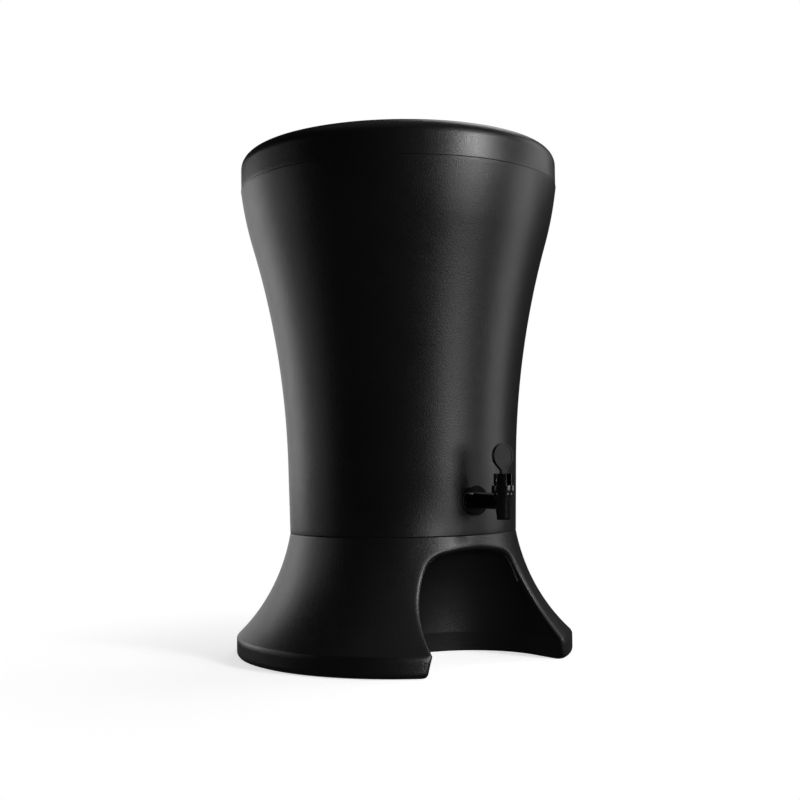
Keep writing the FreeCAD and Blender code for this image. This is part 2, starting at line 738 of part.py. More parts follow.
def make_valve_stem():
    """The stem: a button in the seat cup, a rod, and a yoke that the lever's nose lifts."""
    foot = cup_plug - seat_depth
    nose_low = pivot + nose_up - nose_radius - yoke_play
    nose_high = pivot + nose_up + nose_radius + yoke_play
    base_low = cup_top + yoke_play
    window_half = nose_width / 2 + yoke_play
    button = part_cylinder("stem_button", button_radius, button_height, foot)
    rod = part_cylinder("stem_rod", stem_radius, base_low + yoke_plate - foot, foot)
    base = part_box("yoke_base", (-yoke_half_width, -stem_radius, base_low),
                    (yoke_half_width, yoke_far, base_low + yoke_plate))
    upright = part_box("yoke_upright", (-yoke_half_width, yoke_near, base_low),
                       (yoke_half_width, yoke_far, nose_high + yoke_plate))
    window = part_box("yoke_window", (-window_half, yoke_near, nose_low),
                      (window_half, yoke_far, nose_high))
    whole = doc.addObject("Part::MultiFuse", "stem_form")
    whole.Shapes = [button, rod, base, upright]
    stem = cut_away("valve_stem", whole, window)
    place(stem, spout_axis, tap_z)
    return stem


def paddle_outline(sketch, inset):
    """A teardrop: a narrow foot, straight flanks and a round top, all moved in by an inset."""
    half = lever_width / 2 - inset / 2
    low = pivot + lever_neck + inset
    top = pivot + paddle_height - inset
    radius = paddle_radius - inset
    centre = top - radius
    # The flank touches the circle where its radius is square to it.
    rise = centre - low
    reach = (rise.value ** 2 + half.value ** 2) ** 0.5
    angle = math.atan2(rise.value, half.value) - math.acos(radius.value / reach)
    touch = FreeCAD.Vector(radius.value * math.cos(angle), centre.value - radius.value * math.sin(angle), 0)
    foot = [FreeCAD.Vector(side * half.value, low.value, 0) for side in (-1, 1)]
    mirrored = FreeCAD.Vector(-touch.x, touch.y, 0)
    base = sketch.addGeometry(Part.LineSegment(foot[0], foot[1]), False)
    right = sketch.addGeometry(Part.LineSegment(foot[1], touch), False)
    round_top, _ = arc_through(FreeCAD.Vector(0, centre.value, 0), touch, mirrored, True)
    arc = sketch.addGeometry(round_top, False)
    left = sketch.addGeometry(Part.LineSegment(mirrored, foot[0]), False)
    fix_point(sketch, base, 1, (-half, low))
    fix_point(sketch, base, 2, (half, low))
    fix_point(sketch, arc, 3, (0, centre))
    rule = sketch.addConstraint(Sketcher.Constraint("Radius", arc, radius.value))
    sketch.setExpression(f"Constraints[{rule}]", radius.text)
    sketch.addConstraint(Sketcher.Constraint("Coincident", base, 2, right, 1))
    sketch.addConstraint(Sketcher.Constraint("Tangent", right, 2, arc, 1))
    sketch.addConstraint(Sketcher.Constraint("Tangent", arc, 2, left, 1))
    sketch.addConstraint(Sketcher.Constraint("Coincident", left, 2, base, 1))
    doc.recompute()


def make_tap_lever():
    """The lever: a hub on the pin, a nose that lifts the stem, and a teardrop paddle."""
    body = new_body("tap_lever")
    hub = new_sketch(body, "hub_outline", "YZ_Plane")
    circle(hub, 0, pivot, hub_radius)
    padded(body, "hub", hub, lever_width, midplane=True)
    nose = new_sketch(body, "nose_outline", "YZ_Plane")
    tip_out, tip_up = nose_out, pivot + nose_up
    side_out, side_up = turned(nose_radius, nose_angle + 90)
    outline(nose, (side_out, pivot + side_up), [
        ("line", (-side_out, pivot - side_up)),
        ("line", (tip_out - side_out, tip_up - side_up)),
        ("line", (tip_out + side_out, tip_up + side_up)),
        ("line", (side_out, pivot + side_up)),
    ])
    padded(body, "nose", nose, nose_width, midplane=True)
    tip = new_sketch(body, "nose_tip_outline", "YZ_Plane")
    circle(tip, tip_out, tip_up, nose_radius)
    padded(body, "nose_tip", tip, nose_width, midplane=True)
    neck = new_sketch(body, "neck_outline", "XZ_Plane")
    box_outline(neck, (-lever_width / 2, pivot), (lever_width / 2, pivot + lever_neck))
    padded(body, "neck", neck, lever_thickness, midplane=True)
    plate = new_sketch(body, "paddle_outline", "XZ_Plane")
    paddle_outline(plate, Size(0, "0"))
    padded(body, "paddle", plate, lever_thickness, midplane=True)
    face = new_sketch(body, "face_outline", "XZ_Plane")
    face.setExpression("AttachmentOffset.Base.z", f"({lever_thickness.text}) / 2")
    paddle_outline(face, paddle_rim)
    pocketed(body, "face", face, paddle_recess)
    bore = new_sketch(body, "bore_outline", "YZ_Plane")
    circle(bore, 0, pivot, pin_radius + pin_fit)
    pocketed(body, "bore", bore, lever_width, midplane=True)
    place(body, spout_axis, tap_z)
    return body


def make_lever_pin():
    """The steel pin across the bonnet's tower."""
    body = new_body("lever_pin")
    section = new_sketch(body, "pin_outline", "YZ_Plane")
    circle(section, 0, pivot, pin_radius)
    padded(body, "pin", section, tower_radius * 2 - pin_radius, midplane=True)
    place(body, spout_axis, tap_z)
    return body


def cross_disc(name, radius, near, far):
    """A disc on the barrel's axis between two distances from the stand's axis."""
    disc = doc.addObject("Part::Cylinder", name)
    disc.Placement.Rotation = FreeCAD.Rotation(FreeCAD.Vector(1, 0, 0), 90)
    disc.setExpression("Radius", radius.text)
    disc.setExpression("Height", (far - near).text)
    place(disc, near, tap_z)
    return disc


def wall_cone(name, offset):
    """The tub's straight lower wall as a solid cone, moved out by an offset."""
    cone = doc.addObject("Part::Cone", name)
    cone.setExpression("Radius1", (tub_foot_radius + offset).text)
    cone.setExpression("Radius2", (waist_radius + offset).text)
    cone.setExpression("Height", waist_height.text)
    place(cone, 0, stand_height)
    return cone


def pierced(label, solid, name):
    """A piece with the shank's hole through it."""
    hole = cross_disc(name, shank_radius + running_fit, Size(0, "0"), spout_axis)
    piece = cut_away(label, solid, hole)
    doc.recompute()
    return piece


def make_outer_washer():
    """The soft washer between the tap's flange and the tub, its back shaped to the wall."""
    outer_face = wall_at_tap + washer_thickness
    disc = cross_disc("outer_washer_disc", flange_radius - washer_inset,
                      wall_at_tap - tub_wall, outer_face)
    shaped = cut_away("outer_washer_form", disc, wall_cone("outer_wall_cone", running_fit))
    return pierced("tap_outer_washer", shaped, "outer_washer_hole")


def make_inner_washer():
    """The soft washer under the lock nut, its face shaped to the inside of the wall."""
    inner_face = wall_at_tap - tub_wall - washer_thickness * 2
    disc = cross_disc("inner_washer_disc", flange_radius - washer_inset, inner_face, wall_at_tap)
    shaped = doc.addObject("Part::Common", "inner_washer_form")
    shaped.Base = disc
    shaped.Tool = wall_cone("inner_wall_cone", -tub_wall - running_fit * 2)
    return pierced("tap_inner_washer", shaped, "inner_washer_hole")


def make_lock_nut():
    """The hexagonal lock nut on the shank, tight on the inner washer."""
    prism = doc.addObject("Part::Prism", "nut_form")
    prism.Polygon = 6
    prism.Placement.Rotation = FreeCAD.Rotation(FreeCAD.Vector(1, 0, 0), 90)
    prism.setExpression("Circumradius", nut_radius.text)
    prism.setExpression("Height", nut_thickness.text)
    nut_back = wall_at_tap - tub_wall - washer_thickness * 2 - running_fit - nut_thickness
    place(prism, nut_back, tap_z)
    return pierced("tap_lock_nut", prism, "nut_hole")


pieces = [
    make_stand(),
    make_tub(),
    make_lid(),
    make_filter_pot(),
    make_tap_body(),
    make_tap_bonnet(),
    make_seat_cup(),
    make_valve_stem(),
    make_tap_lever(),
    make_lever_pin(),
    make_outer_washer(),
    make_inner_washer(),
    make_lock_nut(),
]
doc.recompute()

for item in doc.Objects:
    if "Invalid" in item.State or "Error" in item.State:
        raise ValueError(f"{item.Label} failed: {item.State}")
for piece in pieces:
    if piece.Shape.isNull() or not piece.Shape.isValid():
        raise ValueError(f"{piece.Label} has no valid shape")

os.makedirs("parts", exist_ok=True)
for piece in pieces:
    piece.Shape.exportStep(f"parts/{piece.Label}.step")
    print(f"{piece.Label}: {len(piece.Shape.Solids)} solid, {piece.Shape.Volume / 1000:.2f} cm3")
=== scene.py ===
import math

import bmesh
import bpy
import numpy as np
from mathutils import Matrix, Vector


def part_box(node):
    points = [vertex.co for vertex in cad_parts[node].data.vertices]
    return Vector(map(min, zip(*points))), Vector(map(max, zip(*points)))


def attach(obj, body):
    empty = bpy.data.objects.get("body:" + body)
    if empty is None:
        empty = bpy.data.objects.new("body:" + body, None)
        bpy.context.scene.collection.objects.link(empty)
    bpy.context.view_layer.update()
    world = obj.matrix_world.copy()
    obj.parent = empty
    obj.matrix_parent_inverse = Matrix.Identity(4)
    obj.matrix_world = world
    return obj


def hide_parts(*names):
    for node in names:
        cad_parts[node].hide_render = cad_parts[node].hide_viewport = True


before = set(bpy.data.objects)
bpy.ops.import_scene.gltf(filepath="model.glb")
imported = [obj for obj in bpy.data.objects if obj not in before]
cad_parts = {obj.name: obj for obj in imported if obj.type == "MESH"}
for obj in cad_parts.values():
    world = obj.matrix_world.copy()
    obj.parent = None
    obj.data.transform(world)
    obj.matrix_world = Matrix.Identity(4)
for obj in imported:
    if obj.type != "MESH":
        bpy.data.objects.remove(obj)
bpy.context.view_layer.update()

# Camera -------------------------------------------------------------------------------
# Low and to the left of the tap, tilted up a little towards the middle of the tub.

CAMERA_PLACE = Vector((-0.8077, -1.1117, 0.2132))
CAMERA_HEADING = math.radians(35.94)
CAMERA_PITCH = math.radians(2.927)
CAMERA_ROLL = math.radians(0.812)

camera = bpy.data.objects.new("camera", bpy.data.cameras.new("camera"))
camera.data.sensor_width = 36.0
camera.data.lens = 54.18
aim = Vector((
    math.sin(CAMERA_HEADING) * math.cos(CAMERA_PITCH),
    math.cos(CAMERA_HEADING) * math.cos(CAMERA_PITCH),
    math.sin(CAMERA_PITCH),
))
camera.rotation_mode = "QUATERNION"
camera.rotation_quaternion = (
    Matrix.Rotation(CAMERA_ROLL, 3, aim) @ aim.to_track_quat("-Z", "Y").to_matrix()
).to_quaternion()
camera.location = CAMERA_PLACE
bpy.context.scene.collection.objects.link(camera)
bpy.context.scene.camera = camera

# Stand --------------------------------------------------------------------------------
# The flared foot that carries the tub, one moulding in matte black plastic. Its skin turns
# in at the floor, a deck closes it under the tub, and an arched niche takes the glass.

stand_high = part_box("stand")[1]
FOOT_RADIUS = stand_high.x
STAND_TOP = stand_high.z
STAND_TOP_RADIUS = 0.1275
BAND_HEIGHT = 0.02165
FOOT_EDGE = 0.006
STAND_WALL = 0.0045
FOOT_FLANGE = 0.012
TOP_EDGE = 0.0008
SOCKET_RADIUS = 0.123
DECK_TOP = 0.124
DECK_UNDERSIDE = 0.119
NICHE_CENTRE = 0.118
FLARE_PULLS = ((0.1558, 0.05175), (0.1352, 0.0916))
CROWN_EDGE = (0.040, 0.1147)
SHOULDER = (0.0578, 0.1017)
NICHE_FOOT = (0.086, 0.0)
LEG_PULLS = ((0.0753, 0.0714), (0.0853, 0.035))
MOUTH_REACH = 0.007
MOUTH_DEPTH = 0.010
FOOT_SPLAY = 0.003
INNER_CORNER = 0.001
CORNER_FADE = 8
SKIN_COLUMNS = 150
MOUTH_COLUMNS = 9
TUNNEL_COLUMNS = 10
BACK_COLUMNS = 48


def cubic(start, pulls, end, count):
    """A cubic curve: each point is the mix of the two ends and the two pulls, weighted by the
    terms of (1 - t + t) cubed."""
    share = np.linspace(0, 1, count)[:, None]
    corners = np.array([start, *pulls, end], float)
    rest = 1 - share
    return (rest**3 * corners[0] + 3 * rest**2 * share * corners[1]
            + 3 * rest * share**2 * corners[2] + share**3 * corners[3])


def arc_from(start, heading, end, count):
    """A circle's arc that leaves start along heading and ends at end: its radius is the chord
    squared over twice the chord's reach to the side. Also gives the heading at its end."""
    start, end = np.array(start, float), np.array(end, float)
    heading = np.array(heading, float) / np.linalg.norm(heading)
    side = np.array((-heading[1], heading[0]))
    chord = end - start
    reach = chord @ chord / (2 * chord @ side)
    sweep = 2 * math.atan2(chord @ side, chord @ heading)
    angle = np.linspace(0, sweep, count)[:, None]
    points = start + reach * (np.sin(angle) * heading + (1 - np.cos(angle)) * side)
    return points, math.cos(sweep) * heading + math.sin(sweep) * side


def grid_faces(rows, columns, wraps, first):
    """Four-cornered faces between neighbours of a grid whose first vertex has that number."""
    numbers = first + np.arange(rows * columns).reshape(rows, columns)
    if wraps:
        numbers = np.concatenate([numbers, numbers[:, :1]], axis=1)
    corners = (numbers[:-1, :-1], numbers[:-1, 1:], numbers[1:, 1:], numbers[1:, :-1])
    return np.stack(corners, axis=-1).reshape(-1, 4)


def piece_from_grids(name, grids, merge=1e-6):
    """One closed mesh from grids of points, each (points[row, column, xyz], wraps). Vertices
    that meet at seams and poles are merged, and every face is turned outwards."""
    points = np.concatenate([grid.reshape(-1, 3) for grid, _ in grids])
    faces, first = [], 0
    for grid, wraps in grids:
        faces.append(grid_faces(grid.shape[0], grid.shape[1], wraps, first))
        first += grid.shape[0] * grid.shape[1]
    mesh = bpy.data.meshes.new(name)
    mesh.from_pydata(points.tolist(), [], np.concatenate(faces).tolist())
    work = bmesh.new()
    work.from_mesh(mesh)
    bmesh.ops.remove_doubles(work, verts=work.verts, dist=merge)
    bmesh.ops.dissolve_degenerate(work, edges=work.edges, dist=merge)
    bmesh.ops.recalc_face_normals(work, faces=work.faces)
    work.to_mesh(mesh)
    work.free()
    mesh.shade_smooth()
    piece = bpy.data.objects.new(name, mesh)
    bpy.context.scene.collection.objects.link(piece)
    return piece


flare_curve = cubic((FOOT_RADIUS, BAND_HEIGHT), FLARE_PULLS, (STAND_TOP_RADIUS, STAND_TOP), 400)


def stand_radius(height):
    """Radius of the stand's skin: a quarter circle up to the foot's edge, an upright band, then
    the flare's cubic curve."""
    round_part = FOOT_EDGE - np.clip(height, 0, FOOT_EDGE)
    foot = FOOT_RADIUS - FOOT_EDGE + np.sqrt(FOOT_EDGE**2 - round_part**2)
    flared = np.interp(height, flare_curve[:, 1], flare_curve[:, 0])
    return np.where(height < BAND_HEIGHT, foot, flared)


def niche_outline():
    """Half of the niche's arch, from the floor up to its crown: a leg on a cubic curve, then a
    shoulder arc and a nearly flat crown arc that run on from each other without a kink."""
    crown, heading = arc_from((0, DECK_UNDERSIDE), (1, 0), CROWN_EDGE, 26)
    shoulder, _ = arc_from(CROWN_EDGE, heading, SHOULDER, 16)
    leg_curve = cubic(SHOULDER, LEG_PULLS, NICHE_FOOT, 300)[::-1]
    foot_rows = FOOT_EDGE * (1 - np.cos(np.linspace(0, math.pi / 2, 9)))
    crease = 0.0007
    band_rows = np.array((0.010, 0.015, 0.019, BAND_HEIGHT - crease, BAND_HEIGHT,
                          BAND_HEIGHT + crease))
    leg_rows = np.linspace(BAND_HEIGHT + 0.0025, SHOULDER[1], 44)
    heights = np.concatenate([foot_rows, band_rows, leg_rows])
    half_widths = np.interp(heights, leg_curve[:, 1], leg_curve[:, 0])
    half_widths += FOOT_SPLAY * np.clip(1 - heights / BAND_HEIGHT, 0, 1)
    leg = np.stack([half_widths, heights], axis=1)
    return np.concatenate([leg, shoulder[-2::-1], crown[-2::-1]])


def outward(outline):
    """Unit vectors square to an outline, away from the opening, level at the floor."""
    run = np.gradient(outline, axis=0)
    square = np.stack([run[:, 1], -run[:, 0]], axis=1)
    square /= np.linalg.norm(square, axis=1)[:, None]
    square[0] = (1, 0)
    square[-1] = (0, 1)
    return square


def ring_round(radius, height, start_angle, columns):
    """Rows of points round the upright axis, from start_angle right of the tap round the back
    to the same angle left of it: (r sin a, -r cos a, height)."""
    share = np.linspace(0, 1, columns)[None, :]
    angle = start_angle[:, None] + share * (2 * math.pi - 2 * start_angle[:, None])
    x = radius[:, None] * np.sin(angle)
    y = -radius[:, None] * np.cos(angle)
    return np.stack([x, y, np.broadcast_to(height[:, None], x.shape)], axis=-1)


def niche_rows(half_width, height, front):
    """Rows of points from the niche's left side, round its half-circle back, to its right side.
    front is how far forward each side starts."""
    along = np.linspace(0, 1, TUNNEL_COLUMNS)[None, :-1]
    reach = (front - NICHE_CENTRE)[:, None]
    side_y = -(NICHE_CENTRE + reach * (1 - along))
    left = np.stack([-half_width[:, None] + 0 * along, side_y], axis=-1)
    turn = np.linspace(-math.pi / 2, math.pi / 2, BACK_COLUMNS)[None, :]
    back = np.stack([half_width[:, None] * np.sin(turn),
                     -NICHE_CENTRE + half_width[:, None] * np.cos(turn)], axis=-1)
    right = left[:, ::-1] * (-1, 1)
    plan = np.concatenate([left, back, right], axis=1)
    return np.concatenate([plan, np.broadcast_to(height[:, None, None], plan.shape[:2] + (1,))],
                          axis=-1)


def mouth_rows(skin_edge, corner, niche_edge):
    """Rows across the rounded edge of the niche's mouth: a curve from the skin to the niche's
    wall that is pulled towards the sharp corner, (1-u)^2 a + 2u(1-u) b + u^2 c."""
    u = np.linspace(0, 1, MOUTH_COLUMNS)[None, 1:-1, None]
    return ((1 - u)**2 * skin_edge[:, None] + 2 * u * (1 - u) * corner[:, None]
            + u**2 * niche_edge[:, None])


def mirrored_rows(rows):
    """Rows of the other side: the same columns with x turned over."""
    return rows * (-1, 1, 1)


def on_skin(half_width, height, inset=0.0):
    """Points on the front of the skin at a half-width and a height."""
    forward = -np.sqrt((stand_radius(height) - inset)**2 - half_width**2)
    return np.stack([half_width, forward, height], axis=1)


outline = niche_outline()
square = outward(outline)
mouth = outline + square * MOUTH_REACH
right_skin = on_skin(mouth[:, 0], mouth[:, 1])
right_corner = on_skin(outline[:, 0], outline[:, 1])
right_niche = right_corner + np.array((0, MOUTH_DEPTH, 0))
across = mouth_rows(right_skin, right_corner, right_niche)
skin_angle = np.arctan2(right_skin[:, 0], -right_skin[:, 1])
skin = ring_round(stand_radius(mouth[:, 1]), mouth[:, 1], skin_angle, SKIN_COLUMNS)
niche = niche_rows(outline[:, 0], outline[:, 1], -right_niche[:, 1])
outside = np.concatenate([skin, mirrored_rows(across), niche, across[:, ::-1]], axis=1)

# Above the arch: the plain top of the skin, over its rounded edge, down into the socket and
# in over the deck to the axis.
apex = mouth[-1, 1]
turn = np.linspace(0, math.pi / 2, 5)
top_radius = stand_radius(np.array(STAND_TOP)) - TOP_EDGE * (1 - np.cos(turn))
top_height = STAND_TOP - TOP_EDGE * (1 - np.sin(turn))
rise = np.linspace(apex, STAND_TOP - TOP_EDGE, 6)
top_profile = np.concatenate([
    np.stack([stand_radius(rise), rise], axis=1),
    np.stack([top_radius, top_height], axis=1)[1:],
    [(SOCKET_RADIUS + TOP_EDGE, STAND_TOP), (SOCKET_RADIUS, STAND_TOP - TOP_EDGE),
     (SOCKET_RADIUS, DECK_TOP + TOP_EDGE), (SOCKET_RADIUS - TOP_EDGE, DECK_TOP)],
    [(SOCKET_RADIUS * share, DECK_TOP) for share in (0.9, 0.6, 0.3, 0.0)],
])
top = ring_round(top_profile[:, 0], top_profile[:, 1], np.zeros(len(top_profile)), SKIN_COLUMNS)

# Inside: the skin and the niche's wall from below, a wall's thickness away, up to the deck.
inner_leg = (outline + square * STAND_WALL)[::-1]
inner_heights = np.concatenate([[STAND_WALL], np.linspace(0.008, DECK_UNDERSIDE, 40)])
order = np.argsort(inner_leg[:, 1])
inner_half = np.interp(inner_heights, inner_leg[order, 1], inner_leg[order, 0])


def inside_rows(radius, half_width, height):
    """A closed loop inside the stand for each row: the skin's inner side round the back, then
    the outer side of the niche's wall."""
    front = np.maximum(np.sqrt(radius**2 - half_width**2), NICHE_CENTRE + 1e-4)
    start_angle = np.arctan2(half_width, front)
    wall = ring_round(np.hypot(half_width, front), height, start_angle, SKIN_COLUMNS)
    blend = np.linspace(1, 0, SKIN_COLUMNS // 2) ** CORNER_FADE
    mix = np.concatenate([blend, blend[::-1]])[None, :, None]
    plain = ring_round(radius, height, start_angle, SKIN_COLUMNS)
    wall = mix * wall + (1 - mix) * plain
    inner = np.stack([half_width, -front, height], axis=1)
    corner_y = -np.maximum(front - INNER_CORNER, NICHE_CENTRE)
    near = np.stack([half_width, corner_y, height], axis=1)
    across_wall = mouth_rows(inner, (inner + near) / 2, near)
    wall_rows = niche_rows(half_width, height, -near[:, 1])
    return np.concatenate([wall, mirrored_rows(across_wall), wall_rows, across_wall[:, ::-1]],
                          axis=1)


inner_radius = stand_radius(inner_heights) - STAND_WALL
flange_radius = FOOT_RADIUS - FOOT_FLANGE
flange_rows = inside_rows(np.full(3, flange_radius), np.full(3, inner_half[0]),
                          np.array((0.0, STAND_WALL / 2, STAND_WALL)))
inner_rows = inside_rows(inner_radius, inner_half, inner_heights)
underside = np.concatenate([outside[:1], flange_rows, inner_rows])
ceiling_middle = np.array((0.0, 0.03, DECK_UNDERSIDE))
shares = np.array((1.0, 0.85, 0.6, 0.3, 0.0))[:, None, None]
ceiling = ceiling_middle + (inner_rows[-1:] - ceiling_middle) * shares

stand = piece_from_grids("stand_moulding", [
    (outside, True), (top, False), (underside, True), (ceiling, True),
])


def node_setup(name):
    """A new material with an empty node tree, and a function that adds nodes to it."""
    material = bpy.data.materials.new(name)
    material.use_nodes = True
    tree = material.node_tree
    tree.nodes.clear()

    def add(kind, **values):
        node = tree.nodes.new(kind)
        for key, value in values.items():
            if key in node.inputs:
                node.inputs[key].default_value = value
            else:
                setattr(node, key, value)
        return node

    return material, add, tree.links.new


def matte_moulding(name, dark, light, roughness, grain_size, grain_depth):
    """Black moulded plastic from a spark-eroded mould: a fine even grain, a slow waviness, and
    faint handling marks that shine a little more."""
    material, add, link = node_setup(name)
    place = add("ShaderNodeTexCoord")
    shader = add("ShaderNodeBsdfPrincipled")
    shader.inputs["IOR"].default_value = 1.5
    shader.inputs["Specular IOR Level"].default_value = 0.5
    output = add("ShaderNodeOutputMaterial")
    link(shader.outputs["BSDF"], output.inputs["Surface"])

    cloud = add("ShaderNodeTexNoise", Scale=9.0, Detail=4.0, Roughness=0.6)
    link(place.outputs["Object"], cloud.inputs["Vector"])
    tone = add("ShaderNodeValToRGB")
    tone.color_ramp.elements[0].position = 0.35
    tone.color_ramp.elements[0].color = (*dark, 1)
    tone.color_ramp.elements[1].position = 0.7
    tone.color_ramp.elements[1].color = (*light, 1)
    link(cloud.outputs["Fac"], tone.inputs["Fac"])
    link(tone.outputs["Color"], shader.inputs["Base Color"])

    marks = add("ShaderNodeTexNoise", Scale=55.0, Detail=6.0, Roughness=0.65, Distortion=0.4)
    link(place.outputs["Object"], marks.inputs["Vector"])
    rough = add("ShaderNodeMapRange")
    rough.inputs["To Min"].default_value = roughness - 0.05
    rough.inputs["To Max"].default_value = roughness + 0.05
    link(marks.outputs["Fac"], rough.inputs["Value"])
    link(rough.outputs["Result"], shader.inputs["Roughness"])

    grain = add("ShaderNodeTexNoise", Scale=1.0 / grain_size, Detail=3.0, Roughness=0.55)
    link(place.outputs["Object"], grain.inputs["Vector"])
    wave = add("ShaderNodeTexNoise", Scale=38.0, Detail=1.0)
    link(place.outputs["Object"], wave.inputs["Vector"])
    fine = add("ShaderNodeBump", Strength=1.0, Distance=grain_depth)
    link(grain.outputs["Fac"], fine.inputs["Height"])
    slow = add("ShaderNodeBump", Strength=1.0, Distance=0.00012)
    link(wave.outputs["Fac"], slow.inputs["Height"])
    link(slow.outputs["Normal"], fine.inputs["Normal"])
    link(fine.outputs["Normal"], shader.inputs["Normal"])
    return material


stand.data.materials.append(matte_moulding(
    "stand_plastic", (0.0035, 0.0035, 0.0037), (0.0065, 0.0064, 0.0066), 0.37, 0.0017, 0.00020,
))
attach(stand, "stand")
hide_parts("stand")

# Tub ----------------------------------------------------------------------------------
# The tulip-shaped water tub, blow-moulded in the same black plastic. Its foot drops into
# the stand's socket, and its flat ledge carries the pot and the lid.

tub_low, tub_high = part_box("tub")
RIM_RADIUS = tub_high.x
LEDGE = tub_high.z
TUB_BOTTOM = tub_low.z
TUB_WALL = 0.005
TUB_FOOT_RADIUS = 0.1276
SPIGOT_RADIUS = 0.122
WAIST = (0.1293, 0.212)
BELLY = (0.167, 0.458)
BAND_FOOT = (0.1789, 0.514)
POT_OPENING = 0.157
SMALL_EDGE = 0.0007
TUB_COLUMNS = 200


def rounded(corners, longest):
    """A closed profile from corners (radius, height, rounding): each corner becomes a curve
    pulled towards it between two points that lie the rounding back along its sides, and each
    straight run is divided so that no piece is longer than longest."""
    corners = [(np.array(corner[:2], float), corner[2]) for corner in corners]
    path = []
    for number, (corner, size) in enumerate(corners):
        before = corners[number - 1][0]
        after = corners[(number + 1) % len(corners)][0]
        if size == 0:
            bend = corner[None]
        else:
            into = corner + (before - corner) / np.linalg.norm(before - corner) * size
            out = corner + (after - corner) / np.linalg.norm(after - corner) * size
            u = np.linspace(0, 1, 6)[:, None]
            bend = (1 - u)**2 * into + 2 * u * (1 - u) * corner + u**2 * out
        if path:
            gap = bend[0] - path[-1][-1]
            pieces = max(1, math.ceil(np.linalg.norm(gap) / longest))
            shares = np.linspace(0, 1, pieces + 1)[1:-1, None]
            path.append(path[-1][-1] + gap * shares)
        path.append(bend)
    return np.concatenate([run for run in path if len(run)])


def spun_rows(profile, columns):
    """The profile (radius, height) turned about an upright axis: (r sin a, -r cos a, h)."""
    angle = np.linspace(0, 2 * math.pi, columns, endpoint=False)
    x = profile[:, :1] * np.sin(angle)
    y = -profile[:, :1] * np.cos(angle)
    return np.stack([x, y, np.broadcast_to(profile[:, 1:2], x.shape)], axis=-1)


def tub_side(inset):
    """The tub's side from its waist to the band under the ledge: two arcs without a kink."""
    waist = np.array(WAIST) - (inset, 0)
    slope = (WAIST[0] - TUB_FOOT_RADIUS, WAIST[1] - STAND_TOP)
    belly = np.array(BELLY) - (inset, 0)
    lower, heading = arc_from(waist, slope, belly, 46)
    upper, _ = arc_from(belly, heading, np.array(BAND_FOOT) - (inset, 0), 14)
    return np.concatenate([lower, upper[1:]])


outer_foot = rounded([
    (0.0, TUB_BOTTOM, 0), (SPIGOT_RADIUS, TUB_BOTTOM, 0.002), (SPIGOT_RADIUS, STAND_TOP, 0),
    (TUB_FOOT_RADIUS, STAND_TOP, SMALL_EDGE), (*WAIST, 0),
], 0.006)
outer_rim = rounded([
    (*BAND_FOOT, 0), (RIM_RADIUS, LEDGE, SMALL_EDGE), (POT_OPENING, LEDGE, 0.0015),
    (POT_OPENING, BAND_FOOT[1], 0), (BAND_FOOT[0] - TUB_WALL, BAND_FOOT[1], 0),
], 0.006)
inner_foot_radius = SPIGOT_RADIUS - TUB_WALL
inner_foot = rounded([
    (WAIST[0] - TUB_WALL, WAIST[1], 0), (TUB_FOOT_RADIUS - TUB_WALL, STAND_TOP + TUB_WALL, 0.001),
    (inner_foot_radius, STAND_TOP, 0.001), (inner_foot_radius, TUB_BOTTOM + TUB_WALL, 0.003),
    (0.0, TUB_BOTTOM + TUB_WALL, 0),
], 0.006)
tub_profile = np.concatenate([
    outer_foot[:-1], tub_side(0.0), outer_rim[1:-1], tub_side(TUB_WALL)[::-1], inner_foot[1:],
])
tub = piece_from_grids("tub_moulding", [(spun_rows(tub_profile, TUB_COLUMNS), True)])
tub.data.materials.append(matte_moulding(
    "tub_plastic", (0.0030, 0.0030, 0.0032), (0.0060, 0.0059, 0.0060), 0.36, 0.0016, 0.00018,
))
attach(tub, "tub")
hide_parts("tub")

# Lid ----------------------------------------------------------------------------------
# A shallow cap in black plastic, with an upright side, a round shoulder and a slightly
# domed crown. It lies loose on the tub's ledge.

lid_low, lid_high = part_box("lid")
LID_RADIUS = lid_high.x
LID_TOP = lid_high.z
LID_WALL = 0.0041
LID_CROWN_EDGE = (0.1645, 0.5612)
LID_SIDE_TOP = 0.5448


def lid_side(wall):
    """The lid from its axis out over the crown and the shoulder down to its side, moved in by
    a wall: two arcs without a kink."""
    crown_edge = (LID_CROWN_EDGE[0] - wall / 2, LID_CROWN_EDGE[1] - wall)
    crown, heading = arc_from((0, LID_TOP - wall), (1, 0), crown_edge, 36)
    shoulder, _ = arc_from(crown_edge, heading, (LID_RADIUS - wall, LID_SIDE_TOP), 22)
    return np.concatenate([crown, shoulder[1:]])


lid_edge = rounded([
    (LID_RADIUS, LID_SIDE_TOP, 0), (LID_RADIUS, lid_low.z, SMALL_EDGE * 1.3),
    (LID_RADIUS - LID_WALL, lid_low.z, SMALL_EDGE), (LID_RADIUS - LID_WALL, LID_SIDE_TOP, 0),
], 0.004)
lid_profile = np.concatenate([lid_side(0.0)[:-1], lid_edge, lid_side(LID_WALL)[-2::-1]])
lid = piece_from_grids("lid_cap", [(spun_rows(lid_profile, TUB_COLUMNS), True)])
lid.data.materials.append(matte_moulding(
    "lid_plastic", (0.0034, 0.0034, 0.0036), (0.0064, 0.0063, 0.0065), 0.35, 0.0016, 0.00018,
))
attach(lid, "lid")
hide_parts("lid")

# Filter pot ---------------------------------------------------------------------------
# The fired-clay pot that hangs in the tub by its rim: hand-finished on the wheel, so it has
# faint throwing rings, pores and warm, cloudy colour.

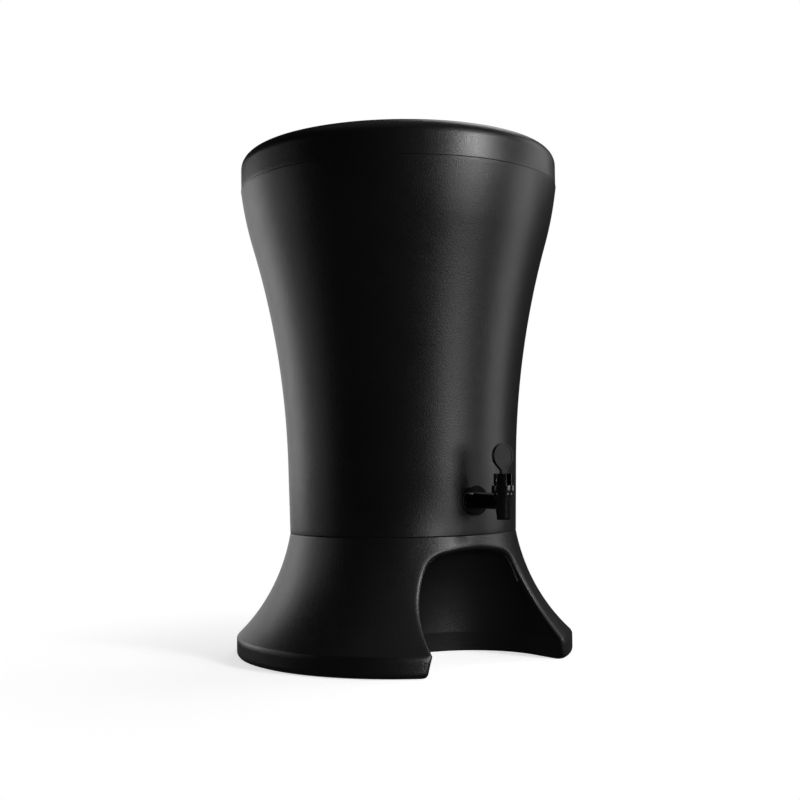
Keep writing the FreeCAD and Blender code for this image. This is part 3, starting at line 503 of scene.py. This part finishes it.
POT_WALL = 0.013
pot_low, pot_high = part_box("filter_pot")
POT_NECK = 0.152
POT_FOOT = 0.112
POT_EDGE = 0.016
pot_profile = rounded([
    (0.0, pot_low.z, 0), (POT_FOOT, pot_low.z, POT_EDGE), (POT_NECK, LEDGE, 0.001),
    (pot_high.x, LEDGE, 0.002), (pot_high.x, pot_high.z, 0.004),
    (POT_NECK - POT_WALL, pot_high.z, 0.005),
    (POT_FOOT - POT_WALL, pot_low.z + POT_WALL, POT_EDGE - POT_WALL / 2),
    (0.0, pot_low.z + POT_WALL, 0),
], 0.006)
pot = piece_from_grids("clay_pot", [(spun_rows(pot_profile, 144), True)])


def fired_clay():
    """Porous unglazed clay: cloudy terracotta, pale where it dried last, with dark pores and
    level rings left by the throwing."""
    material, add, link = node_setup("fired_clay_body")
    place = add("ShaderNodeTexCoord")
    shader = add("ShaderNodeBsdfPrincipled", Roughness=0.9)
    output = add("ShaderNodeOutputMaterial")
    link(shader.outputs["BSDF"], output.inputs["Surface"])
    cloud = add("ShaderNodeTexNoise", Scale=14.0, Detail=8.0, Roughness=0.6)
    link(place.outputs["Object"], cloud.inputs["Vector"])
    tone = add("ShaderNodeValToRGB")
    tone.color_ramp.elements[0].position = 0.3
    tone.color_ramp.elements[0].color = (0.42, 0.17, 0.08, 1)
    tone.color_ramp.elements[1].position = 0.72
    tone.color_ramp.elements[1].color = (0.66, 0.34, 0.19, 1)
    link(cloud.outputs["Fac"], tone.inputs["Fac"])
    pores = add("ShaderNodeTexVoronoi", Scale=420.0)
    link(place.outputs["Object"], pores.inputs["Vector"])
    pits = add("ShaderNodeValToRGB")
    pits.color_ramp.elements[0].position = 0.08
    pits.color_ramp.elements[0].color = (0.45, 0.4, 0.38, 1)
    pits.color_ramp.elements[1].position = 0.22
    link(pores.outputs["Distance"], pits.inputs["Fac"])
    speckled = add("ShaderNodeMix", data_type="RGBA", blend_type="MULTIPLY")
    speckled.inputs[0].default_value = 0.7
    link(tone.outputs["Color"], speckled.inputs[6])
    link(pits.outputs["Color"], speckled.inputs[7])
    link(speckled.outputs[2], shader.inputs["Base Color"])
    rings = add("ShaderNodeTexWave", Scale=55.0, Distortion=1.5, bands_direction="Z")
    link(place.outputs["Object"], rings.inputs["Vector"])
    ring_bump = add("ShaderNodeBump", Strength=0.6, Distance=0.0004)
    link(rings.outputs["Fac"], ring_bump.inputs["Height"])
    pit_bump = add("ShaderNodeBump", Strength=0.8, Distance=0.0003)
    link(pores.outputs["Distance"], pit_bump.inputs["Height"])
    link(ring_bump.outputs["Normal"], pit_bump.inputs["Normal"])
    link(pit_bump.outputs["Normal"], shader.inputs["Normal"])
    return material


pot.data.materials.append(fired_clay())
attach(pot, "filter_pot")
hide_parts("filter_pot")

# Tap ----------------------------------------------------------------------------------
# A lever tap in glossy black plastic, screwed through the tub's wall: spout and barrel in
# one piece, a bonnet screwed on top, and a teardrop lever on a steel pin.


def gloss_moulding(name, tone, roughness):
    """Glossy black plastic from a polished mould, with faint smears and a slight waviness."""
    material, add, link = node_setup(name)
    place = add("ShaderNodeTexCoord")
    shader = add("ShaderNodeBsdfPrincipled")
    output = add("ShaderNodeOutputMaterial")
    link(shader.outputs["BSDF"], output.inputs["Surface"])
    cloud = add("ShaderNodeTexNoise", Scale=160.0, Detail=4.0, Roughness=0.6)
    link(place.outputs["Object"], cloud.inputs["Vector"])
    colour = add("ShaderNodeValToRGB")
    colour.color_ramp.elements[0].position = 0.3
    colour.color_ramp.elements[0].color = (tone * 0.7, tone * 0.7, tone * 0.72, 1)
    colour.color_ramp.elements[1].position = 0.75
    colour.color_ramp.elements[1].color = (tone * 1.3, tone * 1.3, tone * 1.3, 1)
    link(cloud.outputs["Fac"], colour.inputs["Fac"])
    link(colour.outputs["Color"], shader.inputs["Base Color"])
    smears = add("ShaderNodeTexNoise", Scale=420.0, Detail=5.0, Distortion=0.8)
    link(place.outputs["Object"], smears.inputs["Vector"])
    rough = add("ShaderNodeMapRange")
    rough.inputs["To Min"].default_value = roughness - 0.05
    rough.inputs["To Max"].default_value = roughness + 0.08
    link(smears.outputs["Fac"], rough.inputs["Value"])
    link(rough.outputs["Result"], shader.inputs["Roughness"])
    wave = add("ShaderNodeBump", Strength=0.5, Distance=0.00003)
    link(smears.outputs["Fac"], wave.inputs["Height"])
    link(wave.outputs["Normal"], shader.inputs["Normal"])
    return material


def softened(node, material, width):
    """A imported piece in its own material, its edges rounded by a small bevel."""
    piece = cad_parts[node]
    piece.material_slots[0].material = material
    weld = piece.modifiers.new("weld", "WELD")
    weld.merge_threshold = 1e-6
    bevel = piece.modifiers.new("rounded_edges", "BEVEL")
    bevel.width = width
    bevel.segments = 3
    bevel.limit_method = "ANGLE"
    bevel.angle_limit = math.radians(35)
    bevel.harden_normals = True
    return piece


tap_black = gloss_moulding("tap_plastic", 0.004, 0.16)
softened("tap_body", tap_black, 0.0010)
softened("tap_bonnet", tap_black, 0.00035)
softened("tap_lock_nut", tap_black, 0.0005)
softened("tap_lever", gloss_moulding("lever_plastic", 0.012, 0.34), 0.00035)


def milky_silicone():
    """Soft silicone, slightly see-through, with a dusty bloom."""
    material, add, link = node_setup("washer_silicone")
    place = add("ShaderNodeTexCoord")
    shader = add("ShaderNodeBsdfPrincipled")
    shader.inputs["Subsurface Weight"].default_value = 0.25
    shader.inputs["Subsurface Radius"].default_value = (0.002, 0.002, 0.002)
    output = add("ShaderNodeOutputMaterial")
    link(shader.outputs["BSDF"], output.inputs["Surface"])
    bloom = add("ShaderNodeTexNoise", Scale=300.0, Detail=5.0)
    link(place.outputs["Object"], bloom.inputs["Vector"])
    tone = add("ShaderNodeValToRGB")
    tone.color_ramp.elements[0].color = (0.62, 0.62, 0.59, 1)
    tone.color_ramp.elements[1].color = (0.80, 0.80, 0.77, 1)
    link(bloom.outputs["Fac"], tone.inputs["Fac"])
    link(tone.outputs["Color"], shader.inputs["Base Color"])
    rough = add("ShaderNodeMapRange")
    rough.inputs["To Min"].default_value = 0.45
    rough.inputs["To Max"].default_value = 0.65
    link(bloom.outputs["Fac"], rough.inputs["Value"])
    link(rough.outputs["Result"], shader.inputs["Roughness"])
    return material


silicone = milky_silicone()
for washer in ("tap_outer_washer", "tap_inner_washer", "seat_cup"):
    softened(washer, silicone, 0.0002)


def turned_steel():
    """Bright steel wire with fine drawing marks along it."""
    material, add, link = node_setup("pin_wire")
    place = add("ShaderNodeTexCoord")
    shader = add("ShaderNodeBsdfPrincipled", Metallic=1.0)
    output = add("ShaderNodeOutputMaterial")
    link(shader.outputs["BSDF"], output.inputs["Surface"])
    stretch = add("ShaderNodeMapping")
    stretch.inputs["Scale"].default_value = (80.0, 2500.0, 2500.0)
    link(place.outputs["Object"], stretch.inputs["Vector"])
    lines = add("ShaderNodeTexNoise", Scale=1.0, Detail=3.0)
    link(stretch.outputs["Vector"], lines.inputs["Vector"])
    tone = add("ShaderNodeValToRGB")
    tone.color_ramp.elements[0].color = (0.50, 0.50, 0.50, 1)
    tone.color_ramp.elements[1].color = (0.72, 0.72, 0.71, 1)
    link(lines.outputs["Fac"], tone.inputs["Fac"])
    link(tone.outputs["Color"], shader.inputs["Base Color"])
    rough = add("ShaderNodeMapRange")
    rough.inputs["To Min"].default_value = 0.18
    rough.inputs["To Max"].default_value = 0.36
    link(lines.outputs["Fac"], rough.inputs["Value"])
    link(rough.outputs["Result"], shader.inputs["Roughness"])
    return material


softened("lever_pin", turned_steel(), 0.0003)


def stem_nylon():
    """Natural white nylon, faintly mottled."""
    material, add, link = node_setup("stem_nylon")
    place = add("ShaderNodeTexCoord")
    shader = add("ShaderNodeBsdfPrincipled")
    output = add("ShaderNodeOutputMaterial")
    link(shader.outputs["BSDF"], output.inputs["Surface"])
    mottle = add("ShaderNodeTexNoise", Scale=260.0, Detail=4.0)
    link(place.outputs["Object"], mottle.inputs["Vector"])
    tone = add("ShaderNodeValToRGB")
    tone.color_ramp.elements[0].color = (0.66, 0.66, 0.62, 1)
    tone.color_ramp.elements[1].color = (0.84, 0.84, 0.80, 1)
    link(mottle.outputs["Fac"], tone.inputs["Fac"])
    link(tone.outputs["Color"], shader.inputs["Base Color"])
    rough = add("ShaderNodeMapRange")
    rough.inputs["To Min"].default_value = 0.30
    rough.inputs["To Max"].default_value = 0.45
    link(mottle.outputs["Fac"], rough.inputs["Value"])
    link(rough.outputs["Result"], shader.inputs["Roughness"])
    return material


softened("valve_stem", stem_nylon(), 0.0002)

# Floor and light ----------------------------------------------------------------------
# A white floor and soft boxes round the object: bright ones right of the tap, dimmer ones
# behind and on the left that draw the edges, and a small one that reaches into the niche.

FLOOR_HALF = 6.0
floor_mesh = bpy.data.meshes.new("studio_floor")
floor_mesh.from_pydata(
    [(-FLOOR_HALF, -FLOOR_HALF, 0), (FLOOR_HALF, -FLOOR_HALF, 0),
     (FLOOR_HALF, FLOOR_HALF, 0), (-FLOOR_HALF, FLOOR_HALF, 0)], [], [(0, 1, 2, 3)],
)
floor = bpy.data.objects.new("studio_floor", floor_mesh)
bpy.context.scene.collection.objects.link(floor)


def white_floor():
    """White paper that takes a soft shadow near the object and burns out to plain white away
    from it. What it throws back onto the object is dimmed, as if flagged off."""
    material, add, link = node_setup("white_paper")
    place = add("ShaderNodeTexCoord")
    away = add("ShaderNodeVectorMath", operation="LENGTH")
    link(place.outputs["Object"], away.inputs[0])
    burnt = add("ShaderNodeMapRange", interpolation_type="SMOOTHSTEP")
    burnt.inputs["From Min"].default_value = 0.22
    burnt.inputs["From Max"].default_value = 0.55
    link(away.outputs["Value"], burnt.inputs["Value"])
    paper = add("ShaderNodeBsdfDiffuse")
    paper.inputs["Color"].default_value = (0.85, 0.85, 0.85, 1)
    lift = add("ShaderNodeEmission", Strength=0.66)
    lit = add("ShaderNodeAddShader")
    link(paper.outputs["BSDF"], lit.inputs[0])
    link(lift.outputs["Emission"], lit.inputs[1])
    white = add("ShaderNodeEmission", Strength=1.0)
    seen = add("ShaderNodeMixShader")
    link(burnt.outputs["Result"], seen.inputs["Fac"])
    link(lit.outputs["Shader"], seen.inputs[1])
    link(white.outputs["Emission"], seen.inputs[2])
    flagged = add("ShaderNodeEmission", Strength=0.04)
    path = add("ShaderNodeLightPath")
    choose = add("ShaderNodeMixShader")
    output = add("ShaderNodeOutputMaterial")
    link(path.outputs["Is Camera Ray"], choose.inputs["Fac"])
    link(flagged.outputs["Emission"], choose.inputs[1])
    link(seen.outputs["Shader"], choose.inputs[2])
    link(choose.outputs["Shader"], output.inputs["Surface"])
    return material


floor.data.materials.append(white_floor())

world = bpy.data.worlds.new("studio")
bpy.context.scene.world = world
world.use_nodes = True
world_nodes = world.node_tree.nodes
world_nodes.clear()
white_sky = world_nodes.new("ShaderNodeBackground")
white_sky.inputs["Color"].default_value = (1, 1, 1, 1)
dim_sky = world_nodes.new("ShaderNodeBackground")
dim_sky.inputs["Strength"].default_value = 0.02
sky_path = world_nodes.new("ShaderNodeLightPath")
sky_mix = world_nodes.new("ShaderNodeMixShader")
sky_output = world_nodes.new("ShaderNodeOutputWorld")
world.node_tree.links.new(sky_path.outputs["Is Camera Ray"], sky_mix.inputs["Fac"])
world.node_tree.links.new(dim_sky.outputs["Background"], sky_mix.inputs[1])
world.node_tree.links.new(white_sky.outputs["Background"], sky_mix.inputs[2])
world.node_tree.links.new(sky_mix.outputs["Shader"], sky_output.inputs["Surface"])


BOX_DISTANCE = 1.8
NICHE_FILL_AIM = 0.045
NICHE_FILL_SPREAD = math.radians(22)


def soft_box(name, turn, distance, height, width, tall, power):
    """A soft box at an angle in degrees to the right of the camera's side, seen from the
    object, aimed at the middle of the tub. Sizes are in metres and power is in watts."""
    light = bpy.data.lights.new(name, "AREA")
    light.shape = "RECTANGLE"
    light.size = width
    light.size_y = tall
    light.energy = power
    lamp = bpy.data.objects.new(name, light)
    bearing = math.radians(turn) + math.atan2(CAMERA_PLACE.x, -CAMERA_PLACE.y)
    lamp.location = (distance * math.sin(bearing), -distance * math.cos(bearing), height)
    target = Vector((0, 0, (STAND_TOP + LEDGE) / 2))
    lamp.rotation_mode = "QUATERNION"
    lamp.rotation_quaternion = (target - lamp.location).to_track_quat("-Z", "Y")
    bpy.context.scene.collection.objects.link(lamp)
    return lamp


soft_box("key_box", 60, BOX_DISTANCE, 1.25, 0.9, 0.9, 6.0)
soft_box("high_box", 53, BOX_DISTANCE, 0.98, 0.28, 0.28, 11.0)
soft_box("back_top_box", 150, 1.3, 2.2, 0.9, 1.0, 8.4)
soft_box("right_box", 48, BOX_DISTANCE, 0.45, 0.7, 0.9, 7.5)
soft_box("right_rear_box", 120, BOX_DISTANCE, 1.25, 0.9, 0.9, 3.5)
soft_box("side_box", 98, BOX_DISTANCE, 0.45, 0.7, 0.9, 4.5)
soft_box("rim_box", -120, BOX_DISTANCE, 0.45, 0.9, 0.9, 4.9)
soft_box("rim_rear_box", -150, BOX_DISTANCE, 0.45, 0.9, 0.9, 2.0)
soft_box("left_box", -90, BOX_DISTANCE, 0.45, 0.9, 0.9, 1.5)
soft_box("overhead_box", 0, 0.3, 2.6, 2.2, 2.2, 2.0)
niche_box = soft_box("niche_box", 30, 0.75, 0.06, 0.20, 0.06, 0.05)
niche_box.data.spread = NICHE_FILL_SPREAD
niche_box.rotation_quaternion = (
    Vector((0, 0, NICHE_FILL_AIM)) - niche_box.location
).to_track_quat("-Z", "Y")

bpy.context.scene.view_settings.view_transform = "Standard"
